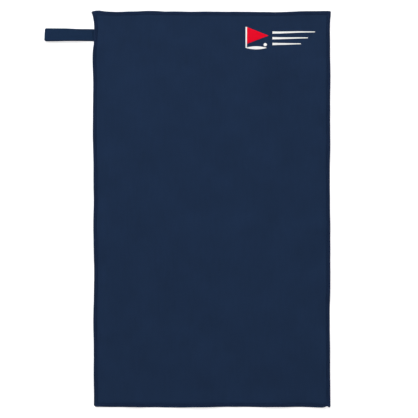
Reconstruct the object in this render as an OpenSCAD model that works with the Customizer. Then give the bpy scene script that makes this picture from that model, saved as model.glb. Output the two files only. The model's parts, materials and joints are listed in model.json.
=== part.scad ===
// Golf towel: a flat microfibre cloth with an overlocked edge, a hanging loop of tape
// and a printed emblem. It lies face up on z = 0, its long side along Y. The cloth is
// one piece of fabric; its two halves are separate solids only so that it can fold.

/* [Cloth] */
// Width of the finished cloth, over its edge seams
cloth_w = 299; // [270:1:330]
// Length of the finished cloth
cloth_l = 501; // [460:1:540]
// Thickness of the brushed fabric
cloth_t = 1.2; // [1:0.1:1.4]
// Radius of the three nearly square corners
corner_r = 1.2; // [0.8:0.1:2]
// Radius of the bottom-left corner, which the overlocker rounded off
round_corner_r = 3.6; // [3:0.1:4.4]

/* [Overlocked edge] */
// Width of the seam band
seam_w = 4.8; // [4.6:0.1:6]
// Thickness of the band, threads and fabric together
seam_t = 1.8; // [1.7:0.1:2]
// Thickness of one layer of thread
thread_t = 0.4; // [0.3:0.05:0.45]
// Width of the row of needle stitches at the band's inner side
needle_w = 0.6; // [0.4:0.1:0.8]

/* [Hanging loop] */
// How far the loop reaches out from the cloth's left edge
loop_l = 62; // [50:1:80]
// Width of the tape
tape_w = 15; // [12:0.5:18]
// Width at the far bend, where the tape spreads a little
bend_w = 16.2; // [16:0.1:19]
// Thickness of the tape
tape_t = 0.7; // [0.6:0.05:0.8]
// Outer radius of the far bend
bend_r = 3.1; // [2.9:0.1:4]
// Distance from the top edge to the middle of the tape
loop_drop = 30; // [25:1:60]

/* [Printed emblem] */
// Width of the emblem
emblem_w = 88; // [70:1:100]
// Height of the emblem, which is the height of its flagstick
emblem_h = 29; // [25:1:34]
// Distance from the right edge to the middle of the emblem
emblem_from_right = 63; // [60:1:90]
// Distance from the top edge to the middle of the emblem
emblem_from_top = 33.8; // [30:0.1:60]
// Thickness of the printed film
film_t = 0.1; // [0.05:0.05:0.2]

/* [Hidden] */
$fn = 64;

// Thread chain left at two corners when the overlocker ran off the cloth
tail_w = 2.4;
tail_t = 0.9;
tail_out_left = 2.4;
tail_out_down = 1;

// The origin is the middle of everything at floor level
x_left = loop_l / 2 - cloth_w / 2;
x_right = x_left + cloth_w;
y_top = (cloth_l + tail_out_down) / 2;
y_bottom = y_top - cloth_l;

// The fold across the middle: its axis is just above the seams
fold_y = (y_top + y_bottom) / 2;
fold_gap = 0.6;

// The overlock threads wrap the cut edge of the fabric
wrap_t = 0.4;
face_z = seam_t - thread_t;
mid_z = seam_t / 2;

// The loop's hinge line, where its tape comes out from under the seam
hinge_gap = 0.3;
loop_y = y_top - loop_drop;
ramp_start = 16;
ramp_end = 5;
ply_t = 0.4;
sewn_l = 4.4;
bend_corner_r = 1.6;
spread_l = 9;

emblem_x = x_right - emblem_from_right;
emblem_y = y_top - emblem_from_top;
pole_w = 1.8;
pennant_l = 27;
pennant_h = emblem_h - 7;
green_w = 27;
green_h = 4;
ball_r = 2.1;
stripe_thick = 3;
stripe_thin = 1;
stripe_pitch = 7.5;
stripe_step = 9;
stripe_x = 34;

cloth_color = "#1f2f48";
thread_color = "#192840";
tape_color = "#1d2e48";
red_color = "#e4102c";
white_color = "#f0f0f0";

EDGES = ["top", "bottom", "left_upper", "left_lower", "right_upper", "right_lower"];
THREADS = ["needle_thread", "face_thread", "back_thread"];

// A layer of a flat shape, from one height to another
module layer(z0, z1) {
    translate([0, 0, z0]) linear_extrude(z1 - z0) children();
}

// A rectangle from its lowest to its highest corner
module area(low, high) {
    translate(low) square(high - low);
}

// What a corner of radius r loses from a square corner that points to +X and +Y
module corner_loss(r) {
    difference() {
        translate([-r, -r]) square(r + 1);
        translate([-r, -r]) circle(r);
        translate([-2 * r, -2 * r]) square([r, 2 * r]);
        translate([-2 * r, -2 * r]) square([2 * r, r]);
    }
}

// The cloth's outline moved in by d, with its four rounded corners
module outline(d) {
    corners = [
        [x_left + d, y_top - d, 90, corner_r],
        [x_right - d, y_top - d, 0, corner_r],
        [x_right - d, y_bottom + d, 270, corner_r],
        [x_left + d, y_bottom + d, 180, round_corner_r]
    ];
    difference() {
        area([x_left + d, y_bottom + d], [x_right - d, y_top - d]);
        for (c = corners) {
            if (c[3] > d) translate([c[0], c[1]]) rotate(c[2]) corner_loss(c[3] - d);
        }
    }
}

// The strip along the edge between two distances from it
module band(d0, d1) {
    difference() {
        outline(d0);
        outline(d1);
    }
}

// The stretch of the edge that one seam covers
module edge_window(edge) {
    upper = fold_y + fold_gap / 2;
    lower = fold_y - fold_gap / 2;
    in_left = x_left + seam_w;
    in_right = x_right - seam_w;
    if (edge == "top") area([in_left, y_top - seam_w], [in_right, y_top]);
    if (edge == "bottom") area([in_left, y_bottom], [in_right, y_bottom + seam_w]);
    if (edge == "left_upper") area([x_left, upper], [in_left, y_top]);
    if (edge == "left_lower") area([x_left, y_bottom], [in_left, lower]);
    if (edge == "right_upper") area([in_right, upper], [x_right, y_top]);
    if (edge == "right_lower") area([in_right, y_bottom], [x_right, lower]);
}

module on_edge(edge) {
    intersection() {
        children();
        edge_window(edge);
    }
}

// The space under the left seam where the loop's two ends are sewn in
module sewn_space() {
    layer(0, 2 * ply_t) area([x_left, loop_y - tape_w / 2], [x_left + sewn_l, loop_y + tape_w / 2]);
}

// One thread of one stretch of the seam
module seam_thread(edge, thread) {
    color(thread_color) difference() {
        if (thread == "needle_thread") {
            layer(face_z, seam_t) on_edge(edge) band(seam_w - needle_w, seam_w);
        } else if (thread == "face_thread") {
            union() {
                layer(face_z, seam_t) on_edge(edge) band(0, seam_w - needle_w);
                layer(mid_z, seam_t) on_edge(edge) band(0, wrap_t);
            }
        } else {
            union() {
                layer(0, thread_t) on_edge(edge) band(0, seam_w);
                layer(0, mid_z) on_edge(edge) band(0, wrap_t);
            }
        }
        if (edge == "left_upper") sewn_space();
    }
}

// One half of the cloth: full thickness inside the seams, pressed thin within them
module cloth_half(low_y, high_y) {
    intersection() {
        union() {
            layer(0, cloth_t) outline(seam_w);
            layer(thread_t, face_z) band(wrap_t, seam_w);
        }
        layer(0, seam_t) area([x_left, low_y], [x_right, high_y]);
    }
}

module cloth_upper() {
    color(cloth_color) difference() {
        cloth_half(fold_y + fold_gap / 2, y_top);
        sewn_space();
    }
}

module cloth_lower() {
    color(cloth_color) cloth_half(y_bottom, fold_y - fold_gap / 2);
}

// The loop's side view, in X and Z: two legs, a round bend, and the ramp where they meet
module loop_profile() {
    top_z = 2 * bend_r - tape_t;
    bend_x = bend_r - loop_l;
    area([bend_x, 0], [-hinge_gap, tape_t]);
    area([bend_x, top_z], [-ramp_start, top_z + tape_t]);
    area([-ramp_end, tape_t], [-hinge_gap, 2 * tape_t]);
    polygon([
        [-ramp_start, top_z + tape_t], [-ramp_start, top_z],
        [-ramp_end, tape_t], [-ramp_end, 2 * tape_t]
    ]);
    difference() {
        translate([bend_x, bend_r]) circle(bend_r);
        translate([bend_x, bend_r]) circle(bend_r - tape_t);
        area([bend_x, 0], [bend_x + 2 * bend_r, 2 * bend_r]);
    }
}

// The loop seen from above: straight tape that spreads a little at the far bend
module loop_plan() {
    corner_x = bend_corner_r - loop_l;
    wide_x = spread_l - loop_l;
    straight_x = 2 * spread_l - loop_l;
    polygon([
        [corner_x, -bend_w / 2], [wide_x, -bend_w / 2], [straight_x, -tape_w / 2], [0, -tape_w / 2],
        [0, tape_w / 2], [straight_x, tape_w / 2], [wide_x, bend_w / 2], [corner_x, bend_w / 2]
    ]);
    area([-loop_l, bend_corner_r - bend_w / 2], [wide_x, bend_w / 2 - bend_corner_r]);
    for (side = [-1, 1]) {
        translate([corner_x, side * (bend_w / 2 - bend_corner_r)]) circle(bend_corner_r);
    }
}

module hanging_loop() {
    color(tape_color) translate([x_left, loop_y, 0]) intersection() {
        rotate([90, 0, 0]) linear_extrude(bend_w, center = true) loop_profile();
        layer(0, 2 * bend_r) loop_plan();
    }
}

// The two ends of the tape, one on the other, under the seam's stitches
module loop_sewn_ends() {
    gap = 0.02;
    color(tape_color) for (ply = [0, 1]) {
        translate([0, 0, ply * ply_t]) layer(0, ply_t - gap)
            area([x_left + wrap_t, loop_y - tape_w / 2], [x_left + sewn_l, loop_y + tape_w / 2]);
    }
}

// A short end of thread chain that sticks out past the edge, with a round tip
module chain_tail(x, y, direction, out) {
    color(thread_color) difference() {
        translate([0, 0, mid_z - tail_t / 2]) linear_extrude(tail_t) translate([x, y]) rotate(direction) {
            area([-tail_w, -tail_w / 2], [out - tail_w / 2, tail_w / 2]);
            translate([out - tail_w / 2, 0]) circle(tail_w / 2);
        }
        layer(0, seam_t) outline(0);
    }
}

module chain_tail_top_left() {
    chain_tail(x_left, y_top - corner_r - tail_w / 2, 180, tail_out_left);
}

module chain_tail_bottom_right() {
    chain_tail(x_right - corner_r - tail_w / 2, y_bottom, 270, tail_out_down);
}

// A pointed ellipse, from two arcs
module lens(w, h) {
    r = (w * w + h * h) / (4 * h);
    intersection() {
        translate([0, h / 2 - r]) circle(r, $fn = 200);
        translate([0, r - h / 2]) circle(r, $fn = 200);
    }
}

module on_cloth() {
    translate([emblem_x, emblem_y, cloth_t]) linear_extrude(film_t) children();
}

module print_red_pennant() {
    x0 = pole_w - emblem_w / 2;
    y1 = emblem_h / 2;
    color(red_color) on_cloth()
        polygon([[x0, y1], [x0, y1 - pennant_h], [x0 + pennant_l, y1 - pennant_h / 2]]);
}

// The pole, the green that it stands on and a ball
module print_white_flagstick() {
    x0 = -emblem_w / 2;
    y0 = -emblem_h / 2;
    color(white_color) on_cloth() {
        area([x0, y0 + green_h / 2], [x0 + pole_w, emblem_h / 2]);
        translate([x0 + green_w / 2, y0 + green_h / 2]) lens(green_w, green_h);
        translate([x0 + green_w - ball_r, y0 + green_h + ball_r]) circle(ball_r);
    }
}

// Three plain stripes that taper away from the flag, each shorter than the one above it
module print_white_stripes() {
    x0 = stripe_x - emblem_w / 2;
    color(white_color) on_cloth() for (row = [0:2]) {
        x1 = emblem_w / 2 - row * stripe_step;
        y = (1 - row) * stripe_pitch;
        polygon([
            [x0, y - stripe_thick / 2], [x1, y - stripe_thin / 2],
            [x1, y + stripe_thin / 2], [x0, y + stripe_thick / 2]
        ]);
    }
}

cloth_upper();
cloth_lower();
for (edge = EDGES) for (thread = THREADS) {
    seam_thread(edge, thread);
}
hanging_loop();
loop_sewn_ends();
chain_tail_top_left();
chain_tail_bottom_right();
print_red_pennant();
print_white_flagstick();
print_white_stripes();
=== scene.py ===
"""A golf towel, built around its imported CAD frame: one sheet of brushed microfibre with a real
three-thread overlocked edge, a hanging loop of woven tape and a printed emblem.

Every piece is first made flat, in the CAD model's own coordinates, and lay() then moves it onto
the cloth as it lies: edges that wander a little, the ripples of a short cloth simulation, and the
rise over the loop's tape.
"""

import json
import math

import bpy
import numpy as np
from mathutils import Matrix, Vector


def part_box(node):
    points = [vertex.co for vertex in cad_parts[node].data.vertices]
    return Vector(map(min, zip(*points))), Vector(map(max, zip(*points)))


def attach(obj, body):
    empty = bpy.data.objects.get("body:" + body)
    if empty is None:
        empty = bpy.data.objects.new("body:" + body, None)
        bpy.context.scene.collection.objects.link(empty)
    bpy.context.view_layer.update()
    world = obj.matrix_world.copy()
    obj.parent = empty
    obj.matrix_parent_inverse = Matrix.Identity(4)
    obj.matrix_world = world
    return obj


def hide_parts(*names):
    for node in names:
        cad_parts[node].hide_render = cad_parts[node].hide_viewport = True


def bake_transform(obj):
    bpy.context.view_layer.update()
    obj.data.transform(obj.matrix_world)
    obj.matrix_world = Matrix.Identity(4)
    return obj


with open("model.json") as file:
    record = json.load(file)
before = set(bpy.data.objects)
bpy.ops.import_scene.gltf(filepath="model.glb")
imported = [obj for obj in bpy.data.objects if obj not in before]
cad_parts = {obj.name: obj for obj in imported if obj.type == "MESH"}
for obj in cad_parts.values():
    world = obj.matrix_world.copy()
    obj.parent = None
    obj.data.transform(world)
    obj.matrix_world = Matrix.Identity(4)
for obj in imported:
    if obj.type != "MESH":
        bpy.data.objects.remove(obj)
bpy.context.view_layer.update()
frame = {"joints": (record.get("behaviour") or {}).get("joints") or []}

MM = 0.001


# ---------------------------------------------------------------- measures from the frame


def span(*nodes):
    """The lowest and highest corner of several CAD nodes together."""
    boxes = [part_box(node) for node in nodes]
    low = np.min([box[0] for box in boxes], axis=0)
    high = np.max([box[1] for box in boxes], axis=0)
    return low, high


def joint(name):
    return next(j for j in frame["joints"] if j["name"] == name)


LOW, HIGH = span("left_lower_face_thread", "right_lower_face_thread", "left_upper_face_thread")
CLOTH_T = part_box("print_red_pennant")[0].z
SEAM_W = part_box("top_back_thread")[1].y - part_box("top_back_thread")[0].y
SEAM_T = HIGH[2]
FOLD = np.array(joint("cloth_fold")["pos_m"])
LOOP_LOW, LOOP_HIGH = span("hanging_loop")
LOOP_Y = (LOOP_LOW[1] + LOOP_HIGH[1]) / 2

CORNER_R = 1.2 * MM
ROUND_CORNER_R = 3.6 * MM
TAIL_CORNER_R = 2.3 * MM

# The overlock: its stitches' length, its threads and where they run
PITCH = 1.9 * MM
NEEDLE_IN = SEAM_W - 0.4 * MM
THREAD_W = 0.62 * MM
THREAD_H = 0.42 * MM
MID_Z = SEAM_T / 2
FACE_Z = SEAM_T - 0.62 * MM
BACK_Z = 0.50 * MM

# The tape of the hanging loop. Towards its bend its upper edge spreads by TAPE_SPREAD, and its width
# leans by TAPE_SKEW. TAPE_LIFT is how far its ends lift the seam above them
TAPE_W = 15 * MM
TAPE_SPREAD = 0.75 * MM
TAPE_CORNER_R = 1.2 * MM
TAPE_T = 0.62 * MM
TAPE_SKEW = 0.35 * MM
TAPE_LIFT = 1.25 * MM


# ---------------------------------------------------------------- how the cloth lies


def smooth(t):
    """A smooth step from 0 to 1."""
    t = np.clip(t, 0, 1)
    return t * t * (3 - 2 * t)


def bumps(along, places):
    """Soft bumps along an edge: each is its place, how far it stands out and its width, in mm."""
    total = np.zeros_like(along)
    for place, height, width in places:
        total += height * MM * np.exp(-(((along - place * MM) / (width * MM)) ** 2))
    return total


# How the edges wander outwards, from the top for the sides and from the left for the ends
LEFT_EDGE = [
    (0, 2.3, 8.5), (24, -0.85, 9), (42, -0.75, 6), (62, 1.3, 22), (115, 0.7, 40), (165, 0.85, 26),
    (266, 0.55, 17), (330, -0.5, 28), (396, 0.3, 25), (487, -0.35, 25),
]
RIGHT_EDGE = [
    (2, 0.9, 8), (24, -0.3, 10), (95, 0.15, 30), (210, -0.4, 30), (300, 0.3, 30), (390, -0.5, 32),
    (480, 0.15, 20),
]
TOP_EDGE = [
    (8.5, 1.1, 6), (30, -0.75, 17), (54, -0.45, 9), (74, 0.5, 20), (93, -0.5, 10), (130, -0.5, 45),
    (190, -0.4, 45), (230, -1.1, 30), (256, 0.3, 14), (292, 0.45, 12),
]
BOTTOM_EDGE = [
    (4, -0.5, 12), (30, -0.3, 40), (115, 0.6, 40), (131, -0.6, 15), (150, -0.45, 120), (170, -0.4, 25),
    (232, -0.45, 12), (256, -0.4, 14), (294.5, -1.8, 2.9),
]

EDGE_HOLD = 7 * MM
EDGE_REACH = 45 * MM


def near(distance):
    """1 along the seam, fading to 0 inside the cloth."""
    return 1 - smooth((distance - EDGE_HOLD) / EDGE_REACH)


def wander(x, y):
    """How far the cloth has moved sideways at a flat place."""
    down, across = HIGH[1] - y, x - LOW[0]
    dx = bumps(down, RIGHT_EDGE) * near(HIGH[0] - x) - bumps(down, LEFT_EDGE) * near(x - LOW[0])
    dy = bumps(across, TOP_EDGE) * near(HIGH[1] - y) - bumps(across, BOTTOM_EDGE) * near(y - LOW[1])
    return dx, dy


# The settling: a coarse sheet, dropped from START_HEIGHT with a slight swell. Its overlocked edge
# is longer than the cloth beside it by SEAM_STRETCH, which fades out over STRETCH_REACH
SETTLE_STEP = 7.5 * MM
START_HEIGHT = 4 * MM
SETTLE_FRAMES = 30
SEAM_STRETCH = 0.005
STRETCH_REACH = 20 * MM
SWELL = 0.8 * MM
CONTACT = 1 * MM
TABLE_HALF = 1.0

# The cloth lies flat at the middle fold, and bridges the tape's ends under the left seam
FOLD_FLAT = 4 * MM
FOLD_FADE = 24 * MM
BRIDGE_BESIDE = 9 * MM
BRIDGE_INWARD = 11 * MM


def wave(x, y, length, heading, shift):
    """A sine wave across the cloth, from -1 to 1."""
    run = x * math.cos(heading) + y * math.sin(heading)
    return np.sin(2 * math.pi * run / length + shift)


def settle():
    """Cloth simulation of the towel dropped on a table. Gives a grid of heights above the lowest."""
    across = np.linspace(LOW[0], HIGH[0], round((HIGH[0] - LOW[0]) / SETTLE_STEP) + 1)
    along = np.linspace(LOW[1], HIGH[1], round((HIGH[1] - LOW[1]) / SETTLE_STEP) + 1)
    x, y = (axis.ravel() for axis in np.meshgrid(across, along))
    swell = wave(x, y, 150 * MM, 0.6, 1.3) * wave(x, y, 130 * MM, 2.1, 0.4)
    swell += 0.5 * wave(x, y, 78 * MM, 1.2, 2.6)
    mesh = bpy.data.meshes.new("settling")
    start = np.column_stack([x, y, START_HEIGHT + SWELL * swell])
    mesh.from_pydata(start.tolist(), [], grid_faces(len(along), len(across)).tolist())
    sheet = bpy.data.objects.new("settling", mesh)
    bpy.context.scene.collection.objects.link(sheet)
    edge = np.minimum(np.minimum(x - LOW[0], HIGH[0] - x), np.minimum(y - LOW[1], HIGH[1] - y))
    inner = sheet.vertex_groups.new(name="inner")
    for point, share in enumerate(np.clip(edge / STRETCH_REACH, 0, 1)):
        inner.add([point], float(share), "REPLACE")
    cloth = sheet.modifiers.new("cloth", "CLOTH")
    cloth.settings.quality = 5
    cloth.settings.mass = 0.0005
    cloth.settings.bending_stiffness = 0.5
    cloth.settings.vertex_group_shrink = inner.name
    cloth.settings.shrink_min = -SEAM_STRETCH
    cloth.settings.shrink_max = 0
    cloth.collision_settings.distance_min = CONTACT
    table = flat_square("table", TABLE_HALF)
    table.modifiers.new("collision", "COLLISION")
    table.collision.thickness_outer = CONTACT
    table.collision.cloth_friction = 5
    for frame_number in range(1, SETTLE_FRAMES + 1):
        bpy.context.scene.frame_set(frame_number)
    settled = sheet.evaluated_get(bpy.context.evaluated_depsgraph_get())
    heights = np.array([vertex.co.z for vertex in settled.data.vertices]).reshape(len(along), len(across))
    bpy.context.scene.frame_set(1)
    for used in (sheet, table):
        bpy.data.meshes.remove(used.data)
    return heights - np.percentile(heights, 2)


def flat_square(name, half):
    """A square at floor level, from -half to half."""
    mesh = bpy.data.meshes.new(name)
    corners = [(-half, -half, 0), (half, -half, 0), (half, half, 0), (-half, half, 0)]
    mesh.from_pydata(corners, [], [(0, 1, 2, 3)])
    square = bpy.data.objects.new(name, mesh)
    bpy.context.scene.collection.objects.link(square)
    return square


def spline_weights(t):
    """The four weights of a cubic B-spline at t from 0 to 1 between two grid points."""
    return [
        (1 - t) ** 3 / 6,
        (3 * t**3 - 6 * t**2 + 4) / 6,
        (-3 * t**3 + 3 * t**2 + 3 * t + 1) / 6,
        t**3 / 6,
    ]


def settled_height(x, y):
    """The settled height at any place, smoothed between the grid's points."""
    rows, columns = SETTLED.shape
    u = np.clip((x - LOW[0]) / (HIGH[0] - LOW[0]) * (columns - 1), 0, columns - 1.001)
    v = np.clip((y - LOW[1]) / (HIGH[1] - LOW[1]) * (rows - 1), 0, rows - 1.001)
    column, row = u.astype(int), v.astype(int)
    total = np.zeros_like(u)
    for down, row_weight in enumerate(spline_weights(v - row)):
        for over, column_weight in enumerate(spline_weights(u - column)):
            at_row = np.clip(row + down - 1, 0, rows - 1)
            at_column = np.clip(column + over - 1, 0, columns - 1)
            total += row_weight * column_weight * SETTLED[at_row, at_column]
    return np.maximum(total, 0)


def rise(x, y):
    """How high the cloth lies: as it settled, but flat at the middle fold and lifted by the tape."""
    height = settled_height(x, y) * smooth((np.abs(y - FOLD[1]) - FOLD_FLAT) / FOLD_FADE)
    by_tape = 1 - smooth((np.abs(y - LOOP_Y) - TAPE_W / 2) / BRIDGE_BESIDE)
    over_tape = 1 - smooth((x - LOW[0] - SEAM_W) / BRIDGE_INWARD)
    return height * (1 - by_tape * over_tape) + TAPE_LIFT * by_tape * over_tape


def lay(points):
    """Moves flat points onto the cloth as it lies."""
    x, y, z = points.T
    dx, dy = wander(x, y)
    return np.column_stack([x + dx, y + dy, z + rise(x, y)])


# ---------------------------------------------------------------- mesh helpers


def make_piece(name, points, faces, uvs, material, slot):
    """A smooth-shaded mesh piece. uvs has one pair per point."""
    mesh = bpy.data.meshes.new(name)
    mesh.from_pydata(np.asarray(points).tolist(), [], [list(face) for face in faces])
    corner = np.zeros(len(mesh.loops), np.int32)
    mesh.loops.foreach_get("vertex_index", corner)
    layer = mesh.uv_layers.new(name="UVMap")
    layer.data.foreach_set("uv", np.asarray(uvs, np.float32)[corner].ravel())
    mesh.polygons.foreach_set("use_smooth", np.ones(len(mesh.polygons), bool))
    mesh.materials.append(material)
    mesh.update()
    piece = bpy.data.objects.new(name, mesh)
    bpy.context.scene.collection.objects.link(piece)
    return piece


def grid_faces(rows, columns, start=0, flip=False):
    """The quads of a grid of points that is stored row by row."""
    first = start + np.arange(rows - 1)[:, None] * columns + np.arange(columns - 1)[None, :]
    quads = np.stack([first, first + 1, first + columns + 1, first + columns], axis=-1).reshape(-1, 4)
    return quads[:, ::-1] if flip else quads


def ring_faces(rings, sides):
    """The quads of a tube of closed rings, and its two end faces."""
    row = np.arange(rings - 1)[:, None] * sides
    step = np.arange(sides)[None, :]
    after = (step + 1) % sides
    quads = np.stack([row + step, row + after, row + sides + after, row + sides + step], axis=-1)
    first = list(range(sides - 1, -1, -1))
    last = list(range((rings - 1) * sides, rings * sides))
    return quads.reshape(-1, 4).tolist() + [first, last]


def rim(rows, columns):
    """The boundary points of a grid, in order around it."""
    top = list(range(columns))
    right = [row * columns + columns - 1 for row in range(1, rows)]
    bottom = [(rows - 1) * columns + column for column in range(columns - 2, -1, -1)]
    left = [row * columns for row in range(rows - 2, 0, -1)]
    return top + right + bottom + left


def shell_faces(rows, columns):
    """A closed thin shell: the quads of a grid, of a second grid behind it, and of the strip round both."""
    count = rows * columns
    back = grid_faces(rows, columns, start=count, flip=True)
    faces = np.concatenate([grid_faces(rows, columns), back]).tolist()
    around = rim(rows, columns)
    for here, after in zip(around, around[1:] + around[:1]):
        faces.append([after, here, here + count, after + count])
    return faces


def unit(vectors):
    return vectors / np.maximum(np.linalg.norm(vectors, axis=1, keepdims=True), 1e-12)


def tube(path, normals, width, height, sides=6, twist=1.1 * MM):
    """A thread along a path, flattened against the surface whose normals are given."""
    tangent = unit(np.gradient(path, axis=0))
    across = unit(np.cross(normals, tangent))
    up = np.cross(tangent, across)
    angle = np.arange(sides) * 2 * math.pi / sides
    ring = (
        across[:, None, :] * np.cos(angle)[None, :, None] * width / 2
        + up[:, None, :] * np.sin(angle)[None, :, None] * height / 2
    )
    points = (path[:, None, :] + ring).reshape(-1, 3)
    run = np.concatenate([[0], np.cumsum(np.linalg.norm(np.diff(path, axis=0), axis=1))])
    u = run[:, None] / twist + angle[None, :] / (2 * math.pi)
    v = np.repeat(angle[None, :] / (2 * math.pi), len(path), axis=0)
    return points, ring_faces(len(path), sides), np.column_stack([u.ravel(), v.ravel()])


def joined(parts):
    """Several (points, faces, uvs) made into one."""
    points, faces, uvs, start = [], [], [], 0
    for part_points, part_faces, part_uvs in parts:
        points.append(part_points)
        faces += [[start + corner for corner in face] for face in part_faces]
        uvs.append(part_uvs)
        start += len(part_points)
    return np.concatenate(points), faces, np.concatenate(uvs)


# ---------------------------------------------------------------- materials


def new_material(name, color, roughness):
    """A Principled material with its nodes, and a function that adds a node with given inputs."""
    material = bpy.data.materials.new(name)
    material.use_nodes = True
    tree = material.node_tree
    shader = tree.nodes["Principled BSDF"]
    shader.inputs["Base Color"].default_value = (*color, 1)
    shader.inputs["Roughness"].default_value = roughness

    def add(kind, inputs=None, **settings):
        node = tree.nodes.new(kind)
        for key, value in settings.items():
            setattr(node, key, value)
        for key, value in (inputs or {}).items():
            if isinstance(value, bpy.types.NodeSocket):
                tree.links.new(value, node.inputs[key])
            else:
                node.inputs[key].default_value = value
        return node

    return material, shader, tree, add


def stronger(add, socket, gain):
    """Spreads a noise's narrow range out round its middle, kept between 0 and 1."""
    shift = 0.5 - 0.5 * gain
    node = add("ShaderNodeMath", {0: socket, 1: gain, 2: shift}, operation="MULTIPLY_ADD", use_clamp=True)
    return node.outputs[0]


def tinted(add, color, factor_socket, spread):
    """The colour, made up to spread darker or lighter by a factor from 0 to 1."""
    dark = tuple(c * (1 - spread) for c in color) + (1,)
    light = tuple(c * (1 + spread) for c in color) + (1,)
    ramp = add("ShaderNodeMix", data_type="RGBA")
    ramp.inputs["A"].default_value = dark
    ramp.inputs["B"].default_value = light
    ramp.id_data.links.new(factor_socket, ramp.inputs["Factor"])
    return ramp.outputs["Result"]


def microfibre_material():
    """Brushed suede microfibre: a faint sheen, clouds where the nap lies another way, and fine fibres."""
    color = (0.0094, 0.0225, 0.0562)
    material, shader, tree, add = new_material("microfibre", color, 0.95)
    uv = add("ShaderNodeTexCoord").outputs["UV"]
    clouds = add("ShaderNodeTexNoise", {"Vector": uv, "Scale": 22.0, "Detail": 4.0, "Roughness": 0.6})
    stretched = add("ShaderNodeMapping", {"Vector": uv, "Scale": (260.0, 45.0, 1.0)})
    strokes = add("ShaderNodeTexNoise", {"Vector": stretched.outputs["Vector"], "Scale": 1.0, "Detail": 3.0})
    fibres = add("ShaderNodeTexNoise", {"Vector": uv, "Scale": 2600.0, "Detail": 3.0, "Roughness": 0.75})
    tufts = stronger(add, fibres.outputs["Fac"], 2.6)
    nap = add("ShaderNodeMath", {0: clouds.outputs["Fac"], 1: 0.45}, operation="MULTIPLY")
    nap = add("ShaderNodeMath", {0: strokes.outputs["Fac"], 1: 0.2, 2: nap.outputs[0]},
              operation="MULTIPLY_ADD")
    nap = add("ShaderNodeMath", {0: tufts, 1: 0.35, 2: nap.outputs[0]}, operation="MULTIPLY_ADD")
    tree.links.new(tinted(add, color, nap.outputs[0], 0.5), shader.inputs["Base Color"])
    soft = add("ShaderNodeBump", {"Height": strokes.outputs["Fac"], "Strength": 0.35, "Distance": 0.25 * MM})
    fine = add("ShaderNodeBump", {"Height": fibres.outputs["Fac"], "Strength": 0.9, "Distance": 0.3 * MM,
                                  "Normal": soft.outputs["Normal"]})
    tree.links.new(fine.outputs["Normal"], shader.inputs["Normal"])
    shader.inputs["Specular IOR Level"].default_value = 0.08
    shader.inputs["Sheen Weight"].default_value = 0.12
    shader.inputs["Sheen Roughness"].default_value = 0.45
    shader.inputs["Sheen Tint"].default_value = (0.3, 0.5, 0.9, 1)
    return material


def thread_material():
    """Textured polyester thread: its plies wind round it, and loose fibres break its surface."""
    color = (0.0064, 0.0174, 0.0530)
    material, shader, tree, add = new_material("overlock_thread", color, 0.8)
    uv = add("ShaderNodeTexCoord").outputs["UV"]
    plies = add("ShaderNodeTexWave", {"Vector": uv, "Scale": 0.314, "Distortion": 0.6, "Detail": 1.0},
                wave_type="BANDS", bands_direction="X")
    fuzz = add("ShaderNodeTexNoise", {"Vector": uv, "Scale": 9.0, "Detail": 3.0})
    shade = add("ShaderNodeMath", {0: plies.outputs["Fac"], 1: 0.6}, operation="MULTIPLY")
    shade = add("ShaderNodeMath", {0: fuzz.outputs["Fac"], 1: 0.4, 2: shade.outputs[0]},
                operation="MULTIPLY_ADD")
    tree.links.new(tinted(add, color, shade.outputs[0], 0.30), shader.inputs["Base Color"])
    bump = add("ShaderNodeBump", {"Height": shade.outputs[0], "Strength": 0.7, "Distance": 0.08 * MM})
    tree.links.new(bump.outputs["Normal"], shader.inputs["Normal"])
    shader.inputs["Specular IOR Level"].default_value = 0.12
    shader.inputs["Sheen Weight"].default_value = 0.06
    shader.inputs["Sheen Tint"].default_value = (0.3, 0.5, 0.9, 1)
    return material


def tape_material():
    """Woven tape: weft ribs across it and finer warp ends along it."""
    color = (0.0062, 0.0205, 0.0550)
    material, shader, tree, add = new_material("woven_tape", color, 0.85)
    uv = add("ShaderNodeTexCoord").outputs["UV"]
    ribs = add("ShaderNodeTexWave", {"Vector": uv, "Scale": 0.314 / (0.75 * MM), "Distortion": 0.4},
               wave_type="BANDS", bands_direction="Y")
    warp = add("ShaderNodeTexWave", {"Vector": uv, "Scale": 0.314 / (0.5 * MM), "Distortion": 0.4},
               wave_type="BANDS", bands_direction="X")
    weave = add("ShaderNodeMath", {0: ribs.outputs["Fac"], 1: warp.outputs["Fac"]}, operation="MULTIPLY")
    clouds = add("ShaderNodeTexNoise", {"Vector": uv, "Scale": 180.0, "Detail": 3.0})
    shade = add("ShaderNodeMath", {0: weave.outputs[0], 1: 0.5}, operation="MULTIPLY")
    shade = add("ShaderNodeMath", {0: clouds.outputs["Fac"], 1: 0.5, 2: shade.outputs[0]},
                operation="MULTIPLY_ADD")
    tree.links.new(tinted(add, color, shade.outputs[0], 0.25), shader.inputs["Base Color"])
    bump = add("ShaderNodeBump", {"Height": weave.outputs[0], "Strength": 0.6, "Distance": 0.12 * MM})
    tree.links.new(bump.outputs["Normal"], shader.inputs["Normal"])
    shader.inputs["Specular IOR Level"].default_value = 0.10
    shader.inputs["Sheen Weight"].default_value = 0.08
    shader.inputs["Sheen Tint"].default_value = (0.3, 0.5, 0.9, 1)
    return material


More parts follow.
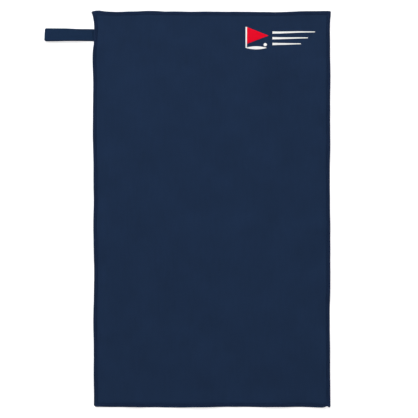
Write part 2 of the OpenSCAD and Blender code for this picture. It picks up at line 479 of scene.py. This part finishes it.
def film_material(name, color):
    """Heat-transfer film: thin, satin, and pressed into the nap below so that the nap shows through."""
    material, shader, tree, add = new_material(name, color, 0.5)
    uv = add("ShaderNodeTexCoord").outputs["UV"]
    nap = add("ShaderNodeTexNoise", {"Vector": uv, "Scale": 1500.0, "Detail": 2.0})
    wear = add("ShaderNodeTexNoise", {"Vector": uv, "Scale": 160.0, "Detail": 4.0})
    tree.links.new(tinted(add, color, wear.outputs["Fac"], 0.05), shader.inputs["Base Color"])
    bump = add("ShaderNodeBump", {"Height": nap.outputs["Fac"], "Strength": 0.35, "Distance": 0.08 * MM})
    tree.links.new(bump.outputs["Normal"], shader.inputs["Normal"])
    shader.inputs["Specular IOR Level"].default_value = 0.05
    return material


MICROFIBRE = microfibre_material()
THREAD = thread_material()
TAPE = tape_material()
RED_FILM = film_material("red_film", (0.69, 0.0002, 0.016))
WHITE_FILM = film_material("white_film", (0.80, 0.80, 0.80))


# ---------------------------------------------------------------- the cloth

# The cloth's face and back at each distance from its cut edge: pressed thin inside the
# stitches, drawn down at the needle line and puffed up just inside it, in mm
EDGE_PROFILE = [
    (0.0, 1.00, 0.78), (0.5, 1.20, 0.55), (3.9, 1.20, 0.52), (4.6, 1.02, 0.55), (5.6, 1.26, 0.30),
    (7.5, 1.42, 0.08), (10.0, 1.36, 0.0), (15.0, 1.20, 0.0)
]

# The sheet's rows and columns of points: close together at these insets from its edges (in mm),
# COARSE_STEP apart between them, and close again over the middle fold
FINE_INSETS = [0, 0.5, 1.2, 2.0, 2.9, 3.6, 4.2, 4.6, 5.1, 5.8, 6.8, 8.2, 10, 12.2]
COARSE_STEP = 2.6 * MM
FOLD_ROWS = 29
FOLD_ROWS_HALF = 4.8
FOLD_ROWS_CLEAR = 5.5 * MM


def spread_out(low, high, fine, coarse):
    """Places from low to high: a list of fine ones in from both ends, and even steps between."""
    ends = np.array(fine) * MM
    between = high - low - 2 * ends[-1]
    count = round(between / coarse)
    middle = low + ends[-1] + np.arange(1, count) / count * between
    return np.concatenate([low + ends, middle, (high - ends)[::-1]])


def round_corners(x, y):
    """Moves the square corners of the sheet onto their arcs."""
    corners = [(-1, 1, CORNER_R), (1, 1, CORNER_R), (1, -1, TAIL_CORNER_R), (-1, -1, ROUND_CORNER_R)]
    for side_x, side_y, radius in corners:
        centre_x = (HIGH[0] - radius) if side_x > 0 else (LOW[0] + radius)
        centre_y = (HIGH[1] - radius) if side_y > 0 else (LOW[1] + radius)
        out_x, out_y = (x - centre_x) * side_x, (y - centre_y) * side_y
        inside = (out_x > 0) & (out_y > 0)
        scale = np.maximum(out_x, out_y) / np.maximum(np.hypot(out_x, out_y), 1e-9)
        x = np.where(inside, centre_x + side_x * out_x * scale, x)
        y = np.where(inside, centre_y + side_y * out_y * scale, y)
    return x, y


def make_cloth():
    columns = spread_out(LOW[0], HIGH[0], FINE_INSETS, COARSE_STEP)
    rows = spread_out(LOW[1], HIGH[1], FINE_INSETS, COARSE_STEP)
    rows = rows[np.abs(rows - FOLD[1]) > FOLD_ROWS_CLEAR]
    over_fold = FOLD[1] + np.linspace(-FOLD_ROWS_HALF, FOLD_ROWS_HALF, FOLD_ROWS) * MM
    rows = np.sort(np.concatenate([rows, over_fold]))
    x, y = (axis.ravel() for axis in np.meshgrid(columns, rows))
    inset = np.minimum(np.minimum(x - LOW[0], HIGH[0] - x), np.minimum(y - LOW[1], HIGH[1] - y))
    distance, face, back = np.array(EDGE_PROFILE).T * MM
    puff = CLOTH_T / (1.2 * MM)
    top_z = np.interp(inset, distance, face * puff)
    bottom_z = np.interp(inset, distance, back)
    x, y = round_corners(x, y)
    flat = np.concatenate([np.column_stack([x, y, top_z]), np.column_stack([x, y, bottom_z])])
    faces = shell_faces(len(rows), len(columns))
    cloth = make_piece("towel_cloth", lay(flat), faces, flat[:, :2], MICROFIBRE, "microfibre")
    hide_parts("cloth_upper", "cloth_lower")
    return cloth


# ---------------------------------------------------------------- the overlocked edge

# One stitch of each looper, as places along the seam (in stitches) and from the needle line at
# 0 to the cut edge at 1: across to the needle thread, round it and back out
LOOPER_STITCH = [
    (0.00, 1.03), (0.06, 0.93), (0.12, 0.62), (0.17, 0.30), (0.22, 0.07), (0.31, -0.03), (0.42, 0.04),
    (0.56, 0.30), (0.72, 0.62), (0.88, 0.93)
]
# One stitch of the needle thread: places along the seam, and height in mm over the pressed
# face; below the hole it makes a small loop round the lower looper
NEEDLE_STITCH = [
    (0.00, -0.15), (0.03, -0.55), (0.06, -0.95), (0.14, -1.05), (0.22, -0.95), (0.25, -0.55), (0.28, -0.15),
    (0.36, 0.14), (0.64, 0.24), (0.92, 0.14)
]

# A looper's thread lies flat out to WRAP_FROM of the way from the needle line to the cut edge. There
# it is WRAP_INSET inside the edge, and by WRAP_TO it has bent round, WRAP_REACH further out
WRAP_FROM = 0.86
WRAP_TO = 1.03
WRAP_INSET = 0.45 * MM
WRAP_REACH = 0.62 * MM


def corner_arc(centre, radius, start, end):
    """Points on an arc, between two angles in degrees."""
    angles = np.radians(np.linspace(start, end, 9))
    return [(centre[0] + radius * math.cos(a), centre[1] + radius * math.sin(a)) for a in angles]


def seam_line(edge):
    """The cut edge that one seam covers: the side seams turn both corners, as the machine does."""
    (x0, y0), (x1, y1) = LOW[:2], HIGH[:2]
    r, rr, tail_r = CORNER_R, ROUND_CORNER_R, TAIL_CORNER_R
    lines = {
        "top": [(x0 + SEAM_W, y1), (x1 - SEAM_W, y1)],
        "bottom": [(x0 + SEAM_W, y0), (x1 - SEAM_W, y0)],
        "left": [(x0 + SEAM_W, y1)] + corner_arc((x0 + r, y1 - r), r, 90, 180)
        + corner_arc((x0 + rr, y0 + rr), rr, 180, 270) + [(x0 + SEAM_W, y0)],
        "right": [(x1 - SEAM_W, y1)] + corner_arc((x1 - r, y1 - r), r, 90, 0)
        + corner_arc((x1 - tail_r, y0 + tail_r), tail_r, 0, -90) + [(x1 - SEAM_W, y0)],
    }
    return np.array(lines[edge])


def along_line(line, distance):
    """The points at given distances along a line of points."""
    run = np.concatenate([[0], np.cumsum(np.linalg.norm(np.diff(line, axis=0), axis=1))])
    return np.column_stack([np.interp(distance, run, line[:, 0]), np.interp(distance, run, line[:, 1])])


def line_length(line):
    return float(np.linalg.norm(np.diff(line, axis=0), axis=1).sum())


def needle_line(outer):
    """The point of the needle line nearest each point of the cut edge."""
    low = LOW[:2] + NEEDLE_IN
    high = HIGH[:2] - NEEDLE_IN
    return np.clip(outer, low, high)


def softened(values, passes=2):
    """Rounds the bends of a path of points."""
    for _ in range(passes):
        middle = (values[:-2] + 2 * values[1:-1] + values[2:]) / 4
        values = np.concatenate([values[:1], middle, values[-1:]])
    return values


def stitched(edge, stitch, shift=0.0):
    """Repeats one stitch along an edge. Gives the distance along it, and the stitch's second value."""
    length = line_length(seam_line(edge))
    count = round(length / PITCH)
    place, value = np.array(stitch).T
    along = (np.arange(count)[:, None] + place[None, :] + shift).ravel() * length / count
    return np.clip(along, 0, length), np.tile(value, count)


def uneven(along, seed):
    """A slow unevenness from -1 to 1 along a seam, because no stitch is quite like the next."""
    return np.sin(along / (3.1 * MM) + seed) * 0.6 + np.sin(along / (7.7 * MM) + 2.3 * seed) * 0.4


def looper_thread(edge, on_face, seed):
    """One looper's thread: across the face or the back, and round the cut edge to its middle."""
    along, q = stitched(edge, LOOPER_STITCH, 0.0 if on_face else 0.5)
    q = q + 0.02 * uneven(along, seed) * (q < 0.2)
    line = seam_line(edge)
    outer = along_line(line, along)
    inner = needle_line(outer)
    level = FACE_Z + THREAD_H / 2 if on_face else BACK_Z - THREAD_H / 2
    wrapped = np.clip((q - WRAP_FROM) / (WRAP_TO - WRAP_FROM), 0, 1.15) * math.pi / 2
    flat_share = np.clip(q, -0.1, WRAP_FROM) / WRAP_FROM
    inward = unit(inner - outer)
    start = outer + inward * WRAP_INSET
    reach = np.sin(wrapped) * WRAP_REACH
    position = inner + (start - inner) * flat_share[:, None] - inward * reach[:, None]
    reach = abs(level - MID_Z)
    side = 1 if on_face else -1
    z = MID_Z + side * reach * np.cos(wrapped) + side * 0.05 * MM * uneven(along, seed + 1)
    path = softened(np.column_stack([position, z]))
    up = side * np.cos(wrapped)
    normals = np.column_stack([-inward * np.sin(wrapped)[:, None], up])
    return tube(lay(path), softened(normals), THREAD_W, THREAD_H)


def needle_thread(edge, seed):
    """The needle's thread: short stitches on the face, and a small loop under each hole."""
    along, height = stitched(edge, NEEDLE_STITCH)
    outer = along_line(seam_line(edge), along)
    inner = needle_line(outer)
    inward = unit(inner - outer)
    position = inner + inward * (0.06 * MM * uneven(along, seed))[:, None]
    z = FACE_Z + 0.10 * MM + height * MM
    path = np.column_stack([position, z])
    spacing = np.linalg.norm(np.diff(path, axis=0), axis=1)
    kept = np.concatenate([[True], spacing > 0.02 * MM])
    normals = np.column_stack([inward, np.zeros(len(inward))])[kept]
    return tube(lay(softened(path[kept], 1)), normals, THREAD_H, THREAD_H)


def seam_nodes(edge, thread):
    """The CAD nodes that a seam's thread stands for."""
    parts = [edge] if edge in ("top", "bottom") else [f"{edge}_upper", f"{edge}_lower"]
    return [f"{part}_{thread}" for part in parts]


def across_fold(piece):
    """Bakes a piece's transform into its mesh, without bending it at the middle fold."""
    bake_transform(piece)


def make_seams():
    pieces = []
    for seed, edge in enumerate(["top", "right", "bottom", "left"]):
        threads = {
            "needle_thread": needle_thread(edge, seed),
            "face_thread": looper_thread(edge, True, seed + 0.5),
            "back_thread": looper_thread(edge, False, seed + 0.8),
        }
        for thread, (points, faces, uvs) in threads.items():
            piece = make_piece(f"overlock_{edge}_{thread}", points, faces, uvs, THREAD, "thread")
            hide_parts(*seam_nodes(edge, thread))
            if edge == "top":
                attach(piece, "upper_half")
            elif edge == "bottom":
                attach(piece, "lower_half")
            else:
                across_fold(piece)
            pieces.append(piece)
    return pieces


TAIL_STEPS = 26
TAIL_TWISTS = 1.6
TAIL_SPREAD = 0.42 * MM


def chain_tail(name, node, start, heading, length, curl, body):
    """A short end of overlock chain: three threads that wind round each other to a point."""
    t = np.linspace(0, 1, TAIL_STEPS)
    turn = heading + curl * t
    run = np.cumsum(np.column_stack([np.cos(turn), np.sin(turn)]), axis=0) * length / TAIL_STEPS
    centre = np.column_stack([start[0] + run[:, 0], start[1] + run[:, 1], np.full(TAIL_STEPS, MID_Z)])
    sideways = np.column_stack([-np.sin(turn), np.cos(turn), np.zeros(TAIL_STEPS)])
    strands = []
    for strand in range(3):
        angle = 2 * math.pi * (strand / 3 + TAIL_TWISTS * t)
        spread = TAIL_SPREAD * (1 - 0.55 * t)
        offset = sideways * (np.cos(angle) * spread)[:, None]
        offset[:, 2] += np.sin(angle) * spread
        path = centre + offset
        normals = np.tile((0.0, 0.0, 1.0), (TAIL_STEPS, 1))
        strands.append(tube(lay(path), normals, THREAD_W * 1.3, THREAD_W))
    piece = make_piece(name, *joined(strands), THREAD, "thread")
    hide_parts(node)
    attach(piece, body)
    return piece


def make_chain_tails():
    top_left = chain_tail(
        "overlock_tail_top_left", "chain_tail_top_left",
        (LOW[0] + 1.6 * MM, HIGH[1] - 1.6 * MM), math.radians(178), 2.6 * MM, 0.9, "upper_half",
    )
    bottom_right = chain_tail(
        "overlock_tail_bottom_right", "chain_tail_bottom_right",
        (HIGH[0] - 2.3 * MM, LOW[1] + 2.4 * MM), math.radians(-92), 2.7 * MM, 0.2, "lower_half",
    )
    return [top_left, bottom_right]


# ---------------------------------------------------------------- the hanging loop


def tape_line():
    """The tape's middle line in X and Z, from its lower sewn end round the far bend to its upper one."""
    edge, floor = LOW[0], TAPE_T / 2 + 0.02 * MM
    bend_r = (LOOP_HIGH[2] - TAPE_T) / 2
    bend_x = LOOP_LOW[0] + bend_r + TAPE_T / 2
    arc = np.radians(np.linspace(-90, -270, 17))
    lower = [(edge + 4.6 * MM, floor), (edge, floor), (edge - 20 * MM, floor + 0.15 * MM), (bend_x, floor)]
    bend = [(bend_x + bend_r * math.cos(a), floor + bend_r + bend_r * math.sin(a)) for a in arc]
    top = floor + 2 * bend_r
    upper = [
        (edge - 38 * MM, top - 0.35 * MM), (edge - 24 * MM, top - 1.0 * MM), (edge - 13 * MM, top - 2.2 * MM),
        (edge - 5.5 * MM, top - 3.2 * MM), (edge - 3.0 * MM, top - 3.5 * MM),
        (edge - 1.9 * MM, top - 3.7 * MM), (edge - 1.15 * MM, floor + TAPE_T + 0.05 * MM),
        (edge + 4.6 * MM, floor + TAPE_T + 0.02 * MM),
    ]
    line = np.array(lower + bend[1:] + upper)
    even = along_line(line, np.linspace(0, line_length(line), 420))
    return softened(even, 8)


RIB_H = 0.035 * MM
RIB_PITCH = 1.5 * MM
TAPE_POINTS = 25


def make_tape():
    line = tape_line()
    run = np.concatenate([[0], np.cumsum(np.linalg.norm(np.diff(line, axis=0), axis=1))])
    tangent = unit(np.gradient(line, axis=0))
    normal = np.column_stack([tangent[:, 1], -tangent[:, 0]])
    share = np.linspace(-1, 1, TAPE_POINTS)
    thick = TAPE_T * (1 - 0.75 * np.abs(share) ** 10)
    thick = thick + 0.10 * MM * np.exp(-(((np.abs(share) - 0.87) / 0.05) ** 2))
    outside = np.column_stack([share, thick / 2])
    inside = np.column_stack([share[::-1], -thick[::-1] / 2])
    section = np.concatenate([outside, inside])
    out = LOW[0] - line[:, 0]
    to_bend = np.clip((out.max() - out) / TAPE_CORNER_R, 0, 1)
    tuck = TAPE_CORNER_R * (1 - np.sqrt(1 - (1 - to_bend) ** 2))
    high_edge = TAPE_W / 2 + TAPE_SPREAD * smooth((out - 17 * MM) / (20 * MM)) - 0.32 * MM - tuck
    low_edge = -TAPE_W / 2 - 0.2 * TAPE_SPREAD * smooth((out - 34 * MM) / (14 * MM)) - 0.05 * MM + tuck
    half_width = (high_edge - low_edge) / 2
    rib = RIB_H * np.sin(2 * math.pi * run / RIB_PITCH)
    lower_leg = 1 - smooth((run - run[-1] * 0.45) / (run[-1] * 0.1))
    centre_y = LOOP_Y + 0.25 * MM * np.sin(run / (19 * MM)) - 0.35 * MM * lower_leg
    centre_y = centre_y + (high_edge + low_edge) / 2
    y = centre_y[:, None] + section[None, :, 0] * half_width[:, None]
    offset = section[None, :, 1] + np.sign(section[None, :, 1]) * rib[:, None]
    skew = TAPE_SKEW * section[None, :, 0] * smooth((out - 20 * MM) / (42 * MM))[:, None]
    x = line[:, 0][:, None] + normal[:, 0][:, None] * offset + skew
    z = line[:, 1][:, None] + normal[:, 1][:, None] * offset
    points = np.stack([x, y, z], axis=-1).reshape(-1, 3)
    uvs = np.column_stack([y.ravel(), np.repeat(run, len(section))])
    tape = make_piece("hanging_loop_tape", points, ring_faces(len(line), len(section)), uvs, TAPE, "tape")
    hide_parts("hanging_loop", "loop_sewn_ends")
    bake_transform(tape)
    return tape


# ---------------------------------------------------------------- the printed emblem

FILM_OVER = 0.07 * MM
FILM_UNDER = 0.10 * MM
PENNANT_TIP = 0.3 * MM
GREEN_H = 4 * MM
BALL_R = 2.1 * MM
STRIPE_THICK = 3 * MM
STRIPE_THIN = 1 * MM
STRIPE_STEP = 9 * MM


def ruled_patch(x, low_y, high_y, rows=9):
    """A thin film between a lower and an upper outline, as (points, faces, uvs)."""
    share = np.linspace(0, 1, rows)[:, None]
    y = low_y[None, :] * (1 - share) + high_y[None, :] * share
    flat_x = np.repeat(x[None, :], rows, axis=0).ravel()
    flat = np.column_stack([flat_x, y.ravel()])
    top = np.column_stack([flat, np.full(len(flat), CLOTH_T + FILM_OVER)])
    bottom = np.column_stack([flat, np.full(len(flat), CLOTH_T - FILM_UNDER)])
    return lay(np.concatenate([top, bottom])), shell_faces(rows, len(x)), np.concatenate([flat, flat])


def straight_patch(x0, x1, left, right, steps=24):
    """A patch whose lower and upper outlines are straight, given as (low, high) at each end."""
    x = np.linspace(x0, x1, steps)
    return ruled_patch(x, np.linspace(left[0], right[0], steps), np.linspace(left[1], right[1], steps))


def round_patch(centre, half_width, half_height, pointed):
    """A disc, or a pointed ellipse between two arcs."""
    x = centre[0] - half_width * np.cos(np.linspace(0.02, math.pi - 0.02, 33))
    share = (x - centre[0]) / half_width
    reach = (1 - share**2) * half_height if pointed else np.sqrt(1 - share**2) * half_height
    return ruled_patch(x, centre[1] - reach, centre[1] + reach)


def make_print(name, nodes, parts, material, slot):
    piece = make_piece(name, *joined(parts), material, slot)
    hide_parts(*nodes)
    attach(piece, "upper_half")
    return piece


def make_prints():
    low, high = span("print_red_pennant")
    middle = (low[1] + high[1]) / 2
    pennant = straight_patch(
        low[0], high[0], (low[1], high[1]), (middle - PENNANT_TIP / 2, middle + PENNANT_TIP / 2), 40
    )
    stick_low, stick_high = span("print_white_flagstick")
    green_half = (stick_high[0] - stick_low[0]) / 2
    green_y = stick_low[1] + GREEN_H / 2
    pole = straight_patch(stick_low[0], low[0], (green_y, high[1]), (green_y, high[1]), 4)
    green = round_patch((stick_low[0] + green_half, green_y), green_half, GREEN_H / 2, pointed=True)
    ball_centre = (stick_high[0] - BALL_R, green_y + GREEN_H / 2 + BALL_R)
    ball = round_patch(ball_centre, BALL_R, BALL_R, pointed=False)
    stripe_low, stripe_high = span("print_white_stripes")
    rows = np.linspace(stripe_high[1] - STRIPE_THICK / 2, stripe_low[1] + STRIPE_THICK / 2, 3)
    stripes = []
    for row, y in enumerate(rows):
        at_left = (y - STRIPE_THICK / 2, y + STRIPE_THICK / 2)
        at_right = (y - STRIPE_THIN / 2, y + STRIPE_THIN / 2)
        right_end = stripe_high[0] - row * STRIPE_STEP
        stripes.append(straight_patch(stripe_low[0], right_end, at_left, at_right, 40))
    flag_parts = [pole, green, ball]
    return [
        make_print("print_pennant", ["print_red_pennant"], [pennant], RED_FILM, "print_red"),
        make_print("print_flagstick", ["print_white_flagstick"], flag_parts, WHITE_FILM, "print_white"),
        make_print("print_stripes", ["print_white_stripes"], stripes, WHITE_FILM, "print_white"),
    ]


# ---------------------------------------------------------------- studio


# The studio's floor: its flat part, the curve up into the wall, and the wall's top, in metres. It
# lies a hair below the towel, so that they share no plane
FLOOR_R = 2.4
COVE_R = 0.9
WALL_TOP = 2.2
FLOOR_SIDES = 96
FLOOR_GAP = 0.05 * MM


def make_camera():
    """Straight above the towel, a little left of its middle, with a long lens."""
    lens = 100.0
    sensor = 36.0
    field = 529 * MM
    data = bpy.data.cameras.new("camera")
    data.lens = lens
    data.sensor_width = sensor
    camera = bpy.data.objects.new("camera", data)
    bpy.context.scene.collection.objects.link(camera)
    middle = (LOW + HIGH) / 2
    camera.location = (middle[0] - 3.7 * MM, middle[1] + 0.4 * MM, field * lens / sensor)
    bpy.context.scene.camera = camera


def make_floor():
    """A round pale floor that curves up into a wall, so that no horizon shows from the side."""
    material, shader, tree, add = new_material("pale_floor", (0.9, 0.9, 0.9), 0.9)
    noise = add("ShaderNodeTexNoise", {"Scale": 40.0, "Detail": 2.0})
    tree.links.new(tinted(add, (0.9, 0.9, 0.9), noise.outputs["Fac"], 0.01), shader.inputs["Base Color"])
    shader.inputs["Specular IOR Level"].default_value = 0.1
    shader.inputs["Emission Color"].default_value = (1, 1, 1, 1)
    shader.inputs["Emission Strength"].default_value = 0.4
    cove = np.linspace(0, math.pi / 2, 13)
    bend = [(FLOOR_R + COVE_R * math.sin(a), COVE_R - COVE_R * math.cos(a)) for a in cove]
    profile = np.array([(0.001, 0)] + bend + [(FLOOR_R + COVE_R, WALL_TOP)])
    turn = np.arange(FLOOR_SIDES) * 2 * math.pi / FLOOR_SIDES
    x = profile[:, :1] * np.cos(turn)
    y = profile[:, :1] * np.sin(turn)
    z = np.repeat(profile[:, 1:], FLOOR_SIDES, axis=1)
    mesh = bpy.data.meshes.new("floor")
    points = np.stack([x, y, z], axis=-1).reshape(-1, 3)
    mesh.from_pydata(points.tolist(), [], ring_faces(len(profile), FLOOR_SIDES)[:-1])
    mesh.polygons.foreach_set("use_smooth", np.ones(len(mesh.polygons), bool))
    mesh.materials.append(material)
    floor = bpy.data.objects.new("floor", mesh)
    floor.location.z = -FLOOR_GAP
    bpy.context.scene.collection.objects.link(floor)


def area_light(name, place, size, watts):
    """A soft square light that faces the middle of the towel."""
    data = bpy.data.lights.new(name, "AREA")
    data.energy = watts
    data.size = size
    light = bpy.data.objects.new(name, data)
    bpy.context.scene.collection.objects.link(light)
    light.location = place
    away = light.location.copy()
    light.rotation_mode = "QUATERNION"
    light.rotation_quaternion = away.to_track_quat("Z", "Y")


def make_lights():
    world = bpy.data.worlds.new("studio")
    bpy.context.scene.world = world
    world.use_nodes = True
    background = world.node_tree.nodes["Background"]
    background.inputs["Color"].default_value = (1, 1, 1, 1)
    background.inputs["Strength"].default_value = 0.396
    area_light("key", (-0.3, 0.85, 1.05), 1.2, 12.0)
    area_light("fill", (0.9, -0.6, 1.4), 1.2, 2.5)


SETTLED = settle()
cloth = make_cloth()
seams = make_seams()
tails = make_chain_tails()
tape = make_tape()
prints = make_prints()
across_fold(cloth)

make_floor()
make_lights()
make_camera()
bpy.context.scene.view_settings.view_transform = "Standard"
